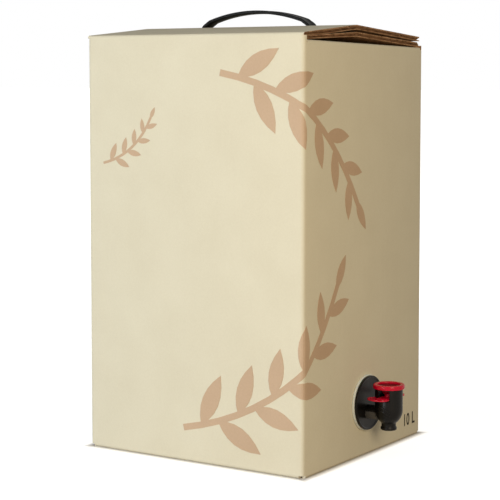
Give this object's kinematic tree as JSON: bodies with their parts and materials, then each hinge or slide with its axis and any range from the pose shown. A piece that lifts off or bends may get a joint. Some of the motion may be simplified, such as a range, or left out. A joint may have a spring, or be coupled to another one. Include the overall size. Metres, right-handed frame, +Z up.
{
  "type": "bag in box carton",
  "caption": "Tall corrugated bag in box carton with a press tap at the foot of its front, a strap handle on its folded top and plain leaf print.",
  "frame": {"origin": "middle of the base, on the surface that the carton stands on", "axes": "+Z up, -Y out of the tap face, +X to the right when facing the tap face"},
  "size_m": [0.1853, 0.2308, 0.3454],
  "materials": {
    "board": "matte coated corrugated board, kraft brown at its cut edges",
    "ink": "matte tan print",
    "film": "silvery film",
    "gland_plastic": "natural milky plastic",
    "strap_plastic": "satin black plastic",
    "tap_plastic": "satin black plastic",
    "red_plastic": "satin red plastic",
    "red_rubber": "matte red elastomer",
    "seal_rubber": "matte natural elastomer"
  },
  "bodies": {
    "pack": {"carton": "board", "bag": "film", "gland": "gland_plastic", "print_upper_sprig": "ink", "print_lower_sprig": "ink", "print_small_sprig": "ink"},
    "handle": {"carry_handle": "strap_plastic"},
    "tap": {"tap_body": "tap_plastic", "tap_cap": "red_plastic", "tap_diaphragm": "red_rubber"},
    "lever": {"tap_lever": "red_plastic", "valve_plunger": "seal_rubber"}
  },
  "joints": [
    {"name": "handle_lift", "type": "slide", "parent": "pack", "child": "handle", "axis": [0, 0, 1], "range_m": [0, 0.011]},
    {"name": "tap_swivel", "type": "hinge", "parent": "pack", "child": "tap", "pos_m": [0, -0.099, 0.0415], "axis": [0, -1, 0], "continuous": true},
    {"name": "lever_lift", "type": "slide", "parent": "tap", "child": "lever", "axis": [0, 0, 1], "range_m": [0, 0.0045], "stiffness_N_per_m": 2000, "springref_m": -0.001, "deforming": ["tap_diaphragm"]}
  ]
}
